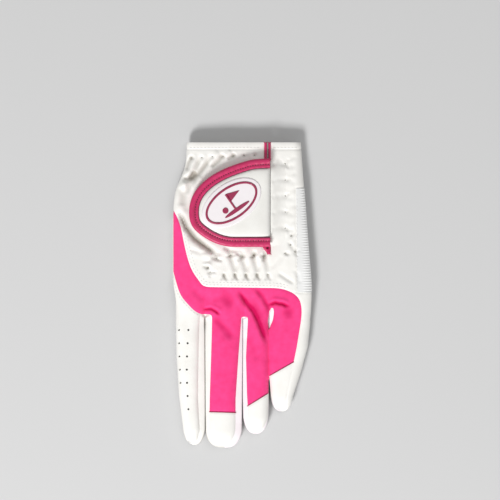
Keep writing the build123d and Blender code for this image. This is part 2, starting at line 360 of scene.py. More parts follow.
def panel_piece(name, loops, shape, material, spacing=0.8, thick=SKIN, below=False, tuck=TUCK, painted_shade=None,
                end=NOWHERE):
    """A cloth panel: triangles fill its flat outline, shape(s, y) gives the outer points, and its edge turns
    in by tuck, so that two panels side by side leave a seam between them."""
    flat, triangles = panel_points(loops, spacing)
    s, y = flat.T
    corners = flat[triangles]
    area = np.cross(corners[:, 1] - corners[:, 0], corners[:, 2] - corners[:, 0])
    triangles = np.where((area > 0)[:, None], triangles, triangles[:, ::-1])
    normal = surface_normal(shape, s, y)
    if below:
        normal, triangles = -normal, triangles[:, ::-1]
    depth = tuck * (1 - smooth(0, TUCK_WIDTH, seam_distance(loops[0], flat))) * smooth(end + 0.5, end + 4, y)
    outer = shape(s, y) - normal * depth[:, None]
    faces = [tuple(t) for t in triangles.tolist()]
    return sheet(name, outer, normal * thick, faces, material, flat, painted_shade(s, y) if painted_shade else None)


def hose(centre, radius, side, up, sides):
    """Points and faces of a closed round cord: a ring about each centre, and two end caps."""
    angle = np.arange(sides)[:, None] * 2 * math.pi / sides
    ring = side[..., None, :] * np.cos(angle) + up[..., None, :] * np.sin(angle)
    points = (centre[:, None] + np.reshape(radius, (-1, 1, 1)) * ring).reshape(-1, 3)
    last = (len(centre) - 1) * sides
    faces = [tuple(range(sides))[::-1], tuple(range(last, last + sides))]
    for a in range(last):
        b = a + 1 if (a + 1) % sides else a + 1 - sides
        faces.append((a, b, b + sides, a + sides))
    return points, faces


def tube(name, centre, radius, material):
    """A round cord along a path of points."""
    run = unit(np.gradient(centre, axis=0))
    side = unit(np.cross(run, UP))
    points, faces = hose(centre, radius, side, np.cross(side, run), CORD_SIDES)
    return make_object(name, points, faces, material, sharp=75)


def stitches(name, path, shape, material, length, gap, radius, lift):
    """A row of thread stitches lying on a surface along a plan path; shape(x, y) gives the surface."""
    path = np.asarray(path, float)
    along, share = travelled(path), np.linspace(0, 1, STITCH_RINGS)
    bulge = np.sqrt(np.maximum(0.04, 1 - (2 * share - 1) ** 4))
    points, faces = [], []
    where = gap / 2
    while where + length < along[-1]:
        at = where + length * share
        centre = shape(np.interp(at, along, path[:, 0]), np.interp(at, along, path[:, 1]))
        run = unit(centre[-1] - centre[0])
        side = unit(np.cross(run, UP))
        up = np.cross(side, run)
        middle = centre + np.outer(lift * bulge - 0.12 * (1 - bulge), up)
        more, skin = hose(middle, radius * bulge, side, up, STITCH_SIDES)
        faces += [tuple(corner + len(points) for corner in face) for face in skin]
        points += list(more)
        where += length + gap
    return make_object(name, points, faces, material, sharp=70)


def join(name, pieces):
    """Several mesh objects made into one."""
    bpy.ops.object.select_all(action="DESELECT")
    for piece in pieces:
        piece.select_set(True)
    bpy.context.view_layer.objects.active = pieces[0]
    bpy.ops.object.join()
    pieces[0].name = pieces[0].data.name = name
    return pieces[0]


def stand_in(piece, body, slot_name, *nodes):
    """The piece rides on a body and stands for CAD nodes, which are hidden; slot_name is not used."""
    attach(piece, body)
    if nodes:
        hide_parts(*nodes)
    return piece


# Shape of the glove ------------

FINGERS = ("index", "middle", "ring", "little")
BACK_NODES = {"index": ["index_back_panel"]}
WEBS = {}             # CAD web at the left (0) or right (1) of a finger
for left, right in zip(FINGERS, FINGERS[1:]):
    BACK_NODES[right] = [f"{right}_back_knit", f"{right}_tip_panel"]
    WEBS[left, 1] = WEBS[right, 0] = f"fourchette_web_{left}_{right}"
TIP = {f: box(f"{f}_palm_side_panel")[0][1] for f in FINGERS}
TIP_TOP = {f: min(box(n)[0][1] for n in BACK_NODES[f]) for f in FINGERS}


def side_table(nodes, low, high, count=400):
    """Rows from low to high, and the lowest and highest x of some CAD nodes at each."""
    rows = np.linspace(low, high, count)
    return (rows, *sides_of(nodes, rows))


TOP_SIDES = {f: side_table(BACK_NODES[f], TIP_TOP[f] + 0.01, KNUCKLE_Y - 0.35) for f in FINGERS}
LOW_SIDES = {f: side_table([f"{f}_palm_side_panel"], TIP[f] + 0.01, KNUCKLE_Y - 0.35) for f in FINGERS}
HAND_SIDES = side_table(["palm_panel", "cuff_hem_palm"], KNUCKLE_Y + 0.01, CUFF_Y - 0.01, 500)


def top_side(finger, y, side):
    """Plan x of the left (0) or right (1) seam on the back of a finger."""
    return np.interp(y, TOP_SIDES[finger][0], TOP_SIDES[finger][1 + side])


def low_side(finger, y, side):
    """Plan x of the left (0) or right (1) edge of a finger's palm side."""
    x = np.interp(y, LOW_SIDES[finger][0], LOW_SIDES[finger][1 + side])
    return x + (-1, 1)[side] * GAP_CLOSE * ((finger, side) in WEBS)


def silhouette(y, side):
    """Plan x of the glove's thumb-side (0) or little-finger-side (1) edge."""
    hand = np.interp(y, HAND_SIDES[0], HAND_SIDES[1 + side])
    return np.where(np.asarray(y) > KNUCKLE_Y - 0.2, hand, low_side(FINGERS[-side], y, side))


def palm_height(y):
    """Height of the underside of the hand, which rises over the folded thumb."""
    return PALM_RISE * smooth(KNUCKLE_Y + 2, 2, y) * smooth(CUFF_Y - 5, CUFF_Y - 24, y)


def side_height(y):
    """Height of the seam at the edge of the glove."""
    return 0.5 * palm_height(y) + 4.4 + 0.2 * smooth(-20, 10, y)


def folds(x, y, creases, widen, ridges):
    """Summed depth of a list of creases, whose widths and ridges are scaled."""
    total = np.zeros_like(x)
    for path, width, depth, ridge in creases:
        width = width * widen
        path = np.array(path, float)
        lengths = np.linalg.norm(np.diff(path, axis=0), axis=1)
        before = 0.0
        best, signed, along = np.full(x.shape, 1e9), np.zeros_like(x), np.zeros_like(x)
        for (x0, y0), (x1, y1), length in zip(path, path[1:], lengths):
            ux, uy = (x1 - x0) / length, (y1 - y0) / length
            t = np.clip((x - x0) * ux + (y - y0) * uy, 0, length)
            dx, dy = x - x0 - t * ux, y - y0 - t * uy
            distance = np.hypot(dx, dy)
            nearer = distance < best
            best = np.where(nearer, distance, best)
            signed = np.where(nearer, np.sign(ux * dy - uy * dx) * distance, signed)
            along = np.where(nearer, (before + t) / lengths.sum(), along)
            before += length
        fade = smooth(0, 0.22, along) * smooth(1, 0.78, along)
        cut = np.exp(-(signed / width) ** 2)
        rise = np.exp(-((signed + 1.9 * width) / (1.4 * width)) ** 2)
        total += fade * depth * (ridge * ridges * rise - cut)
    return total


def pits(x, y, spots, wide, tall, depth):
    """Dimples where a stitch pulls the leather down."""
    total = np.zeros_like(x)
    for px, py in spots:
        total -= depth * np.exp(-((x - px) / wide) ** 2 - ((y - py) / tall) ** 2)
    return total


# Gathers over the elastic tapes: stitches in two rows across the wrist and in two columns at the slit
UPPER_ROW = [(-6.9 + 6.6 * i, 22.7 - 0.15 * i) for i in range(4)]
LOWER_ROW = [(-10.8 + 6.4 * i, 11.7 + 0.1 * (i % 2)) for i in range(5)]
ROW_END = [(-14.9, 20.7), (-19.8, 15.2), (-18.6, 13.2)]
NEAR_COLUMN = [(17.9, 38.6 + 9.2 * i) for i in range(5)]
FAR_COLUMN = [(24.9, 38.7 + 9.3 * i) for i in range(5)]
LOOSE_DOTS = [(27.9, 28.8), (24.6, 24.1), (30.5, 24.7), (21.5, 56.6), (28.2, 34.0)]
TAPE_ROW = [(-29.5 + 6.1 * i, 79.6 + 0.25 * i) for i in range(7)]
DOTS = UPPER_ROW + LOWER_ROW + ROW_END + NEAR_COLUMN + FAR_COLUMN + LOOSE_DOTS + TAPE_ROW

# Creases: path, width, depth, share of the depth that rises as a ridge at its right
WRIST_CREASES = [
    ([(-37.5, 50.5), (-35.6, 45.5), (-32.6, 39.2), (-27.7, 33.1), (-21.6, 28.2), (-13.0, 22.0)],
     1.25, 1.75, 0.55),
    ([(-33.5, 36.5), (-28.0, 30.0), (-22.5, 25.5)], 1.6, 0.45, 0.6),
    ([(-31.0, 27.0), (-24.5, 24.6), (-19.5, 25.0)], 0.9, 0.40, 0.6),
    ([(-24.0, 18.5), (-19.0, 20.0), (-12.5, 25.5)], 0.9, 0.5, 0.7),
    ([(-12.0, 28.6), (-7.0, 25.8), (0.0, 24.6)], 1.0, 0.6, 0.5),
    ([(20.2, 13.2), (24.6, 10.2), (30.6, 6.2)], 0.8, 1.2, 0.7),
    ([(29.6, 15.4), (32.3, 11.4), (33.4, 6.0)], 0.9, 0.7, 0.6),
    ([(15.5, 14.5), (19.0, 17.8), (24.0, 23.4)], 1.0, 0.45, 0.7),
    ([(-35.2, 68.6), (-32.4, 67.3), (-29.2, 68.8), (-26.6, 72.0)], 1.35, 1.8, 0.6),
    ([(-28.6, 81.5), (-31.2, 77.2), (-32.8, 71.6)], 1.0, 1.3, 0.8),
    ([(-24.0, 81.6), (-26.0, 76.0), (-29.4, 68.4), (-32.5, 58.0)], 1.15, 1.45, 0.8),
    ([(-18.0, 82.0), (-20.6, 77.0), (-25.6, 70.4), (-29.6, 62.0)], 1.05, 1.25, 0.8),
    ([(-11.2, 82.4), (-13.6, 78.6), (-18.8, 73.8)], 1.0, 1.1, 0.8),
    ([(-4.6, 82.8), (-6.0, 80.6), (-9.0, 78.4)], 0.9, 0.9, 0.7),
    ([(-36.8, 63.5), (-35.4, 57.0), (-36.0, 51.0)], 1.7, 0.6, 0.4),
    ([(-33.2, 62.6), (-33.6, 55.0), (-32.4, 47.0)], 1.5, 0.45, 0.5),
]
for (x, y), lower_left, lower in zip(UPPER_ROW, LOWER_ROW, LOWER_ROW[1:]):
    WRIST_CREASES += [
        ([(x + 0.4, y + 4.6), (x, y), (x * 0.5 + lower[0] * 0.5 + 0.5, 17.0), lower], 1.05, 0.75, 0.7),
        ([(x, y), (x - 2.2, 17.6), lower_left], 0.9, 0.4, 0.5),
    ]
for x, y in LOWER_ROW:
    WRIST_CREASES += [
        ([(x - 0.3, y + 1.4), (x + 0.5, y - 1.0), (x + 2.1, y - 3.6)], 0.55, 0.75, 0.5),
        ([(x + 0.3, y + 1.4), (x - 0.5, y - 1.0), (x - 1.9, y - 3.4)], 0.55, 0.55, 0.3),
    ]
for near, far, above in zip(NEAR_COLUMN, FAR_COLUMN, FAR_COLUMN[1:] + FAR_COLUMN[-1:]):
    WRIST_CREASES += [
        ([(16.6, near[1] - 1.5), near, (21.4, near[1] + 1.0), far, (31.5, far[1] - 1.8)], 1.0, 0.45, 0.8),
        ([near, (20.0, near[1] + 4.0), above], 0.9, 0.3, 0.7),
        ([far, (28.4, far[1] + 3.6), (32.0, far[1] + 4.4)], 0.9, 0.35, 0.7),
    ]

# Small puckers round the stitches
SHUFFLE = random.Random(7)
for x, y in UPPER_ROW + NEAR_COLUMN + FAR_COLUMN + LOOSE_DOTS + ROW_END:
    for _ in range(3):
        heading, reach = SHUFFLE.uniform(0, 2 * math.pi), SHUFFLE.uniform(2.2, 4.2)
        far = (x + reach * math.cos(heading), y + reach * math.sin(heading))
        WRIST_CREASES.append(([(x, y), far], SHUFFLE.uniform(0.45, 0.8), SHUFFLE.uniform(0.35, 0.7), 0.5))

KNIT_CREASES = [
    ([(-3.6, 4.6), (-1.2, 0.6), (3.0, -5.4), (6.4, -9.6), (9.6, -16.2), (14.8, -30.5)], 1.3, 0.85, 0.6),
    ([(7.0, 4.6), (11.6, -1.2), (14.6, -6.4), (15.2, -10.2)], 1.2, 0.55, 0.4),
    ([(27.0, -7.0), (23.2, -5.2), (18.9, -4.4), (15.0, -6.4)], 0.9, 0.95, 0.7),
    ([(-12.6, -11.8), (-15.6, -9.2), (-18.6, -7.9), (-23.2, -8.6)], 0.8, 0.75, 0.6),
    ([(-17.4, -11.4), (-12.0, -18.0), (-5.0, -26.2)], 2.6, 0.45, 0.5),
    ([(-8.0, 4.4), (-11.0, -1.0), (-18.5, -4.0)], 2.2, 0.35, 0.5),
    ([(-30.5, 4.5), (-24.0, -1.5), (-16.5, -4.6)], 2.0, 0.3, 0.5),
    ([(1.5, -22.0), (6.0, -30.0), (8.5, -40.0)], 2.4, 0.3, 0.5),
]

# Cloth that lies in the shade of a fold: path, width, strength
KNIT_SHADES = [
    ([(-3.6, 4.6), (-1.2, 0.6), (3.0, -5.4), (6.4, -9.6), (9.6, -16.2), (14.6, -29.0)], 1.0, 0.70),
    ([(3.4, -3.0), (7.8, -9.2), (11.2, -16.2), (14.8, -26.0)], 1.9, 0.50),
    ([(7.0, 5.0), (12.3, -1.0), (14.9, -7.2), (15.2, -14.0)], 1.4, 0.35),
    ([(14.4, -7.0), (16.2, -5.2), (18.9, -4.3), (23.2, -5.0), (28.6, -7.4)], 0.9, 0.75),
    ([(-24.0, -8.4), (-18.1, -7.9), (-12.8, -11.9)], 0.9, 0.65),
    ([(-17.8, -13.5), (-8.7, -20.6), (-6.6, -29.0)], 1.7, 0.25),
    ([(1.4, 0.5), (8.0, -6.5), (12.2, -14.5)], 3.2, 0.25),
]
# Dents in the knit, which also get painted shade
KNIT_DENTS_AND_SHADE_SPOTS = [(27.0, -9.8), (-8.0, -3.9)]


def hand_dome(x, y):
    """Height of the back of the hand, highest in the middle."""
    left, right = silhouette(y, 0), silhouette(y, 1)
    across = (2 * x - left - right) / (right - left)
    top = HAND_TOP - DOME_DROP - 0.9 * smooth(60, CUFF_Y, y)
    return top - SIDE_CROWN * np.abs(np.clip(across, -1, 1)) ** 2.4


def finger_domes(x, y):
    """Height of the backs of the fingers, with a valley between each two."""
    best = np.full(np.shape(x), -1e9)
    for finger in FINGERS:
        left, right = top_side(finger, y, 0), top_side(finger, y, 1)
        across = (2 * x - left - right) / np.maximum(right - left, 0.5)
        if finger == "index":
            across = np.maximum(across, -0.2)
        if finger == "little":
            across = np.minimum(across, 0.2)
        fall = FINGER_CROWN * np.minimum(np.abs(across), 1.5) ** 3
        best = np.maximum(best, FINGER_TOP - DOME_DROP - fall)
    return best


def fold_height(x, y):
    """Rise and fall of the cloth's creases and gathers."""
    knit = 1.7 * folds(x, y, KNIT_CREASES, 1.1, 0.7) + pits(x, y, KNIT_DENTS_AND_SHADE_SPOTS, 3.0, 3.6, 0.8)
    wrist = 1.3 * folds(x, y, WRIST_CREASES, 1.35, 0.6) + pits(x, y, DOTS, 1.15, 1.0, 0.9)
    wrist += pits(x, y, [(a + 0.2, b - 1.5) for a, b in LOWER_ROW], 1.7, 1.3, 0.6)
    wrist = wrist * (1 - 0.52 * smooth(12, 18, x)) * (1 - 0.2 * smooth(17, 14, y))
    return knit * smooth(8.0, 4.0, y) + wrist * smooth(3.4, 7.0, y)


def painted_fold_shade(s, y):
    """How much shade is painted into a flat place's colour, from 0 to 1: more the deeper it lies in a fold,
    with the knit's listed shade paths and dents added.
    """
    x, _ = roll_over(s, y)
    shade = folds(x, y, [(*shade, 0) for shade in KNIT_SHADES], 1.0, 0.0)
    shade = shade + pits(x, y, KNIT_DENTS_AND_SHADE_SPOTS, 3.2, 4.0, 0.25)
    return np.clip(-fold_height(x, y) / 1.9 - 0.08 - shade * smooth(8.0, 4.0, y), 0, 1)


def back_height(x, y):
    """Height of the glove's back in plan, before its edges roll over."""
    toward_fingers = smooth(6.0, -20.0, y)
    height = (1 - toward_fingers) * hand_dome(x, y) + toward_fingers * finger_domes(x, y)
    height = height + 0.22 * np.sin(0.19 * x + 0.11 * y + 1.0) * np.sin(0.16 * y - 0.08 * x)
    return height + fold_height(x, y)


def roll_width(y, side):
    """Plan width of the roll at the glove's edge: it narrows where a fingertip does."""
    width = low_side(FINGERS[-side], y, 1) - low_side(FINGERS[-side], y, 0)
    return np.where(y > KNUCKLE_Y, ROLL, np.clip(0.45 * width, 0.3, ROLL))


def unroll(x, y):
    """Flat place of a plan point: cloth that goes down over an edge is longer than its plan."""
    s = np.array(x, float)
    for side, sign in ((0, 1), (1, -1)):
        edge, roll = silhouette(y, side), roll_width(y, side)
        turn = np.arcsin(1 - np.clip(sign * (x - edge) / roll, 0, 1))
        s = np.where(sign * (x - edge) < roll, edge + sign * roll * (1 - ARC * turn), s)
    return s


def roll_over(s, y):
    """Plan x of a flat place, and how far it has turned down over an edge: 1 is level, 0 is upright."""
    x, level = np.array(s, float), np.ones_like(s)
    for side, sign in ((0, 1), (1, -1)):
        edge, roll = silhouette(y, side), roll_width(y, side)
        turn = np.clip((1 - sign * (s - edge) / roll) / ARC, 0, math.pi / 2)
        x = np.where(turn > 0, edge + sign * roll * (1 - np.sin(turn)), x)
        level = np.where(turn > 0, np.cos(turn), level)
    return x, level


def rolled_edge(y, side):
    """Flat place of the glove's edge, where the back's roll ends."""
    return silhouette(y, side) + (1, -1)[side] * roll_width(y, side) * (1 - ARC * math.pi / 2)


def back_shape(s, y):
    """Outer surface of the glove's back from a flat place."""
    x, level = roll_over(s, y)
    side = side_height(y)
    return stack(x, y, side + (back_height(x, y) - side) * level)


def back_plan(x, y):
    """Outer surface of the back from a plan place, for what lies on it."""
    x, y = np.asarray(x, float), np.asarray(y, float)
    return back_shape(unroll(x, y), y)


def palm_shape(s, y):
    """Outer surface of the palm side of the hand from a flat place."""
    x, level = roll_over(s, y)
    side = side_height(y)
    ripple = 0.12 * (1 + np.sin(0.23 * x - 0.17 * y)) * smooth(KNUCKLE_Y, -5, y) * smooth(CUFF_Y, 78, y)
    return stack(x, y, side + (palm_height(y) + ripple - side) * level)


def lifted(shape, height):
    """A surface a set height above another."""
    return lambda x, y: shape(x, y) + UP * height


def raised(loop, base, height, roll, start=0.0):
    """Surface of a flat trim that stands up from a base and rounds off at its outline."""
    def shape(x, y):
        rise = (height - start) * round_over(edge_distance(loop, stack(x, y)), roll)
        return base(x, y) + np.outer(start + rise, UP)
    return shape


def level_at(height):
    """A level surface at one height."""
    return lambda x, y: stack(x, y, height)


def flat_loop(node, which=0):
    """A CAD plate's outline on the uncut cloth."""
    loop = plate(node, 0.7, which)
    return stack(unroll(loop[:, 0], loop[:, 1]), loop[:, 1])


# Materials ---------------------

class Nodes:
    """A small helper that builds a material's node tree. A value is a number, a colour or an output."""

    def __init__(self, name, color, rough, sheen=0.0, coat=0.0, specular=0.5):
        self.material = bpy.data.materials.new(name)
        self.material.use_nodes = True
        self.tree = self.material.node_tree
        self.shader = self.tree.nodes["Principled BSDF"].inputs
        for socket, value in (("Base Color", color), ("Roughness", rough), ("Specular IOR Level", specular),
                              ("Sheen Weight", sheen), ("Sheen Roughness", 0.45), ("Coat Weight", coat)):
            self.give(self.shader[socket], value)
        self.flat = self.add("Attribute", attribute_name="flat").outputs["Vector"]
        self.height = None

    def give(self, socket, value):
        """Sets a socket, or links an output to it."""
        if isinstance(value, bpy.types.NodeSocket):
            self.tree.links.new(value, socket)
        else:
            socket.default_value = (*value, 1) if isinstance(value, tuple) else value

    def add(self, kind, inputs=(), **settings):
        """A new node with its settings and its inputs: pairs of a socket's name or place and a value."""
        node = self.tree.nodes.new(f"ShaderNode{kind}")
        for name, value in settings.items():
            setattr(node, name, value)
        for socket, value in inputs:
            self.give(node.inputs[socket], value)
        return node

    def math(self, kind, *values, clamp=False):
        return self.add("Math", enumerate(values), operation=kind, use_clamp=clamp).outputs[0]

    def times(self, a, b, clamp=False):
        return self.math("MULTIPLY", a, b, clamp=clamp)

    def plus(self, a, b, clamp=False):
        return self.math("ADD", a, b, clamp=clamp)

    def minus(self, a, b):
        return self.math("SUBTRACT", a, b)

    def zigzag(self, value, height=0.5):
        return self.math("PINGPONG", value, height)

    def noise(self, scale, detail=3.0):
        inputs = ("Scale", scale), ("Detail", detail), ("Vector", self.flat)
        return self.add("TexNoise", inputs).outputs["Fac"]

    def pebbles(self, scale):
        inputs = ("Scale", scale), ("Vector", self.flat)
        return self.add("TexVoronoi", inputs, feature="SMOOTH_F1").outputs["Distance"]

    def axes(self):
        return self.add("SeparateXYZ", [(0, self.flat)]).outputs[:2]

    def mix(self, factor, first, second):
        return self.add("Mix", [(6, first), (7, second), (0, factor)], data_type="RGBA").outputs[2]

    def color(self, factor, dark, light, fold=None):
        """Mixes two colours; fold, if given, is a dark colour painted into the shade of creases, which also
        takes away sheen and shine there.
        """
        mixed = self.mix(factor, dark, light)
        if fold:
            # painted shade: the further a point lies in a fold's shade, the more its colour goes to the dark
            # fold colour and the less sheen and shine it has
            depth = self.add("Attribute", attribute_name="painted_shade").outputs["Fac"]
            mixed = self.mix(self.times(depth, 0.85), mixed, fold)
            for name in ("Sheen Weight", "Specular IOR Level"):
                base = self.shader[name].default_value
                self.give(self.shader[name], self.plus(self.times(depth, -0.9 * base), base, clamp=True))
        self.give(self.shader["Base Color"], mixed)

    def rough(self, factor, low, high):
        self.give(self.shader["Roughness"], self.plus(self.times(factor, high - low), low))

    def bump(self, factor, depth_mm, strength):
        inputs = [("Strength", strength), ("Distance", depth_mm * MM), ("Height", factor)]
        if self.height:
            inputs.append(("Normal", self.height))
        self.height = self.add("Bump", inputs).outputs["Normal"]
        self.give(self.shader["Normal"], self.height)


def leather(name, light, dark, rough=0.46, grain=1.5, depth=0.05):
    """Fine-grained glove leather: small pebbles, pores, and a slow change of tone."""
    m = Nodes(name, light, rough, sheen=0.15, specular=0.42)
    tone = m.times(m.math("POWER", m.noise(0.14, 4.0), 1.4), 1.6, clamp=True)
    # fold: painted shade colour for creases, a darker copy of the leather
    m.color(tone, dark, light, fold=(light[0] * 0.36, light[1] * 0.33, light[2] * 0.29))
    m.rough(m.noise(0.6, 4.0), rough - 0.07, rough + 0.10)
    m.bump(m.pebbles(grain), depth, 0.75)
    m.bump(m.noise(grain * 2.6, 6.0), depth * 0.6, 0.6)
    return m.material


def knit(name, light, dark):
    """Stretch knit: columns of interlocked V stitches."""
    m = Nodes(name, light, 0.72, sheen=0.35, specular=0.3)
    x, y = m.axes()
    across = m.zigzag(m.times(x, 1 / 0.42), 1.0)
    loops = m.zigzag(m.plus(m.times(y, 1 / 0.62), m.times(across, 0.55)))
    gap = m.times(m.minus(1.0, m.math("ABSOLUTE", m.minus(across, 0.5))), 0.9)
    height = m.times(loops, gap)
    tone = m.plus(m.times(height, 0.9), m.times(m.noise(0.25, 3.0), 0.9), clamp=True)
    # fold: painted shade colour for creases in the knit
    m.color(tone, dark, light, fold=(0.50, 0.0, 0.066))
    m.bump(height, 0.13, 0.7)
    m.bump(m.noise(5.0, 4.0), 0.04, 0.5)
    return m.material


def elastic(name, light, dark):
    """Woven elastic tape."""
    m = Nodes(name, light, 0.7, sheen=0.25, specular=0.3)
    x, y = m.axes()
    weave = m.times(m.zigzag(m.times(x, 2.6)), m.zigzag(m.times(y, 3.4)))
    m.color(m.plus(m.times(weave, 2.4), m.times(m.noise(0.5), 0.5), clamp=True), dark, light)
    m.bump(weave, 0.12, 0.7)
    return m.material


def rubber(name, light, dark, rough=0.36):
    """Moulded soft rubber with a faint satin texture."""
    m = Nodes(name, light, rough, coat=0.06, specular=0.5)
    m.color(m.noise(0.35, 4.0), dark, light)
    m.rough(m.noise(2.2, 4.0), rough - 0.05, rough + 0.08)
    m.bump(m.noise(6.0, 3.0), 0.02, 0.5)
    return m.material


def thread(name, light, dark):
    """Twisted sewing thread."""
    m = Nodes(name, light, 0.5, sheen=0.2, specular=0.4)
    x, y = m.axes()
    twist = m.zigzag(m.plus(m.times(x, 2.4), m.times(y, 2.0)))
    m.color(m.times(twist, 2.0, clamp=True), dark, light)
    m.bump(twist, 0.05, 0.7)
    return m.material


def pile(name, light, dark):
    """The fuzzy face of loop tape, and the ground of hook tape."""
    m = Nodes(name, light, 0.85, sheen=0.5, specular=0.2)
    m.color(m.noise(1.6, 6.0), dark, light)
    m.bump(m.noise(3.0, 8.0), 0.25, 0.9)
    return m.material


def grip_leather(name, light, dark, pitch=2.4):
    """Palm leather with a printed grip: rows of small raised squares."""
    m = Nodes(name, light, 0.5, sheen=0.12, specular=0.42)
    x, y = m.axes()
    across, along = (m.zigzag(m.times(part, 0.7071 / pitch)) for part in (m.plus(x, y), m.minus(x, y)))
    square = m.times(m.minus(m.math("MINIMUM", across, along), 0.16), 14.0, clamp=True)
    m.color(square, light, dark)
    m.rough(square, 0.52, 0.34)
    m.bump(square, 0.10, 0.7)
    m.bump(m.noise(2.9, 6.0), 0.04, 0.6)
    return m.material


WHITE = leather("white_leather", (0.895, 0.883, 0.85), (0.825, 0.805, 0.76))
# The side strips' white leather, tinted pink as a painted reflection of the pink knit beside it
PINK_BOUNCE_LEATHER = leather("fourchette_leather_pink_reflection", (0.90, 0.835, 0.86), (0.84, 0.76, 0.79))
# The tab's face: a darker copy of the white leather, painted shade that tones down how bright its raised
# padded face comes out under the lamps
TAB_WHITE = leather("tab_leather", (0.83, 0.82, 0.785), (0.77, 0.755, 0.715))
PALM = leather("palm_leather", (0.88, 0.87, 0.85), (0.80, 0.785, 0.76), rough=0.52, grain=1.1, depth=0.06)
GRIP = grip_leather("palm_grip_leather", (0.88, 0.87, 0.85), (0.74, 0.73, 0.72))
PINK = knit("pink_knit", (1.0, 0.062, 0.285), (0.80, 0.018, 0.165))
BINDING = leather("binding_leather", (0.60, 0.026, 0.135), (0.45, 0.014, 0.085), rough=0.42, grain=1.8)
ELASTIC = elastic("ribbed_elastic", (0.90, 0.90, 0.89), (0.74, 0.74, 0.73))
BADGE = rubber("badge_rubber", (0.86, 0.815, 0.83), (0.82, 0.775, 0.79))
BADGE_LINE = rubber("badge_line_rubber", (0.36, 0.022, 0.085), (0.26, 0.012, 0.055), rough=0.4)
THREAD = thread("white_thread", (0.86, 0.85, 0.83), (0.62, 0.61, 0.58))
DOT_THREAD = thread("shirring_thread", (0.50, 0.49, 0.45), (0.26, 0.25, 0.22))
PINK_THREAD = thread("binding_thread", (0.17, 0.010, 0.048), (0.08, 0.004, 0.022))
LOOP = pile("loop_tape", (0.85, 0.85, 0.84), (0.66, 0.66, 0.65))
HOOK = pile("hook_tape", (0.82, 0.82, 0.81), (0.66, 0.66, 0.66))
FOAM = pile("foam", (0.80, 0.79, 0.76), (0.66, 0.65, 0.62))


# Hand --------------------------

def build_back_of_hand():
    """Knit panel, wrist panel, knuckle overlay and little-finger strip."""
    for node, name, material, slot_name, spacing in (
        ("back_knit_panel", "knit_back", PINK, "pink_knit", 0.75),
        ("wrist_panel", "wrist_leather", WHITE, "white_leather", 0.62),
        ("index_knuckle_overlay", "index_overlay", WHITE, "white_leather", 0.8),
        ("little_side_strip", "little_side_leather", WHITE, "white_leather", 0.7),
    ):
        # the back panels get painted shade in their folds
        piece = panel_piece(name, [flat_loop(node)], back_shape, material, spacing, painted_shade=painted_fold_shade)
        stand_in(piece, "hand", slot_name, node)


def build_palm():
    """Palm leather, which stands for the two side walls too, and its hem."""
    top = box("palm_panel")[1][1]
    y = np.append(np.arange(KNUCKLE_Y, top, 0.7), top)
    left, right = (stack(unroll(silhouette(y, side), y), y) for side in (0, 1))
    loop = np.vstack([left, right[::-1]])[::-1]
    piece = panel_piece("palm_leather", [loop], palm_shape, GRIP, 1.0, below=True)
    stand_in(piece, "hand", "palm_leather", "palm_panel", "thumb_side_wall", "little_side_wall")

    def hem(s, y):
        return palm_shape(s, y) + np.outer(0.02 + 0.1 * smooth(0.0, 1.0, np.abs(y - CUFF_Y + 2) - 1.0), UP)
    piece = panel_piece("palm_hem", [flat_loop("cuff_hem_palm")], hem, PALM, 0.9, below=True)
    stand_in(piece, "hand", "palm_leather", "cuff_hem_palm")


def build_elastic_strip():
    """Ribbed elastic on the little-finger side: ribs run across the strip."""
    loop = outline("side_elastic_strip")[0]
    rows = np.arange(loop[:, 1].min(), loop[:, 1].max(), 0.2)
    share = np.linspace(0, 1, 22)
    start = unroll(sides_of(["side_elastic_strip"], rows + 0.01)[0], rows)
    s = between(start, rolled_edge(rows, 1), share)
    y = rows[:, None] + 0 * s
    grid = back_shape(s, y)
    edge = np.minimum(1, np.minimum(share, 1 - share) * 9)
    rib = (0.12 + 0.15 * np.cos(2 * math.pi * y / 1.5)) * edge * smooth(0.2, 0.6, share)
    up = -grid_normals(grid)
    up *= np.sign(up[..., 2:3] + 1e-9)
    piece = grid_piece("side_elastic", grid + up * rib[..., None], ELASTIC, flat=stack(s, y))
    stand_in(piece, "hand", "elastic", "side_elastic_strip")


def build_inner_tapes():
    """Elastic tapes sewn to the inside of the back."""
    under = lifted(back_shape, -SKIN - 0.12)
    for node in ("shirring_elastic", "side_shirring_elastic", "wrist_elastic"):
        (x0, y0, _), (x1, y1, _) = box(node)
        loop = np.array([(x0, y0), (x1, y0), (x1, y1), (x0, y1)])
        piece = panel_piece(f"{node}_tape", [loop], under, ELASTIC, 1.0, thick=0.4)
        stand_in(piece, "hand", "elastic", node)


# Fingers -----------------------

def close_up(finger, y, side):
    """How far a top seam moves to stand over the finger's palm-side edge, where two knit backs touch."""
    starts = {("ring", 1): (KNUCKLE_Y - 0.5, KNUCKLE_Y - 4), ("little", 0): (-13, LITTLE_SPLIT)}
    if (finger, side) not in starts:
        return np.zeros(np.shape(y))
    move = low_side(finger, y, side) - top_side(finger, y, side) + (-0.12, 0.12)[side]
    return move * smooth(*starts[finger, side], y) * smooth(TIP_TOP[finger] + 2, TIP_TOP[finger] + 10, y)


def top_edge(finger, y, side):
    """Plan x of a finger's top seam, which starts where the web's edge ends."""
    x = top_side(finger, y, side) + close_up(finger, y, side)
    if (finger, side) in WEBS:
        at_knuckle = sides_of([WEBS[finger, side]], np.array([KNUCKLE_Y + 0.02]))[1 - side][0]
        x = x + (at_knuckle - top_side(finger, KNUCKLE_Y, side)) * smooth(KNUCKLE_Y - 4, KNUCKLE_Y, y)
    return x


def finger_back(finger):
    """Outer surface of the back of a finger from a flat place."""
    def shape(s, y):
        x, level = roll_over(s, y)
        round_off = round_over(y - TIP_TOP[finger], TIP_TOP_ROUND)
        return stack(x, y, TIP_HEIGHT + (back_height(x, y) - TIP_HEIGHT) * level * round_off)
    return shape


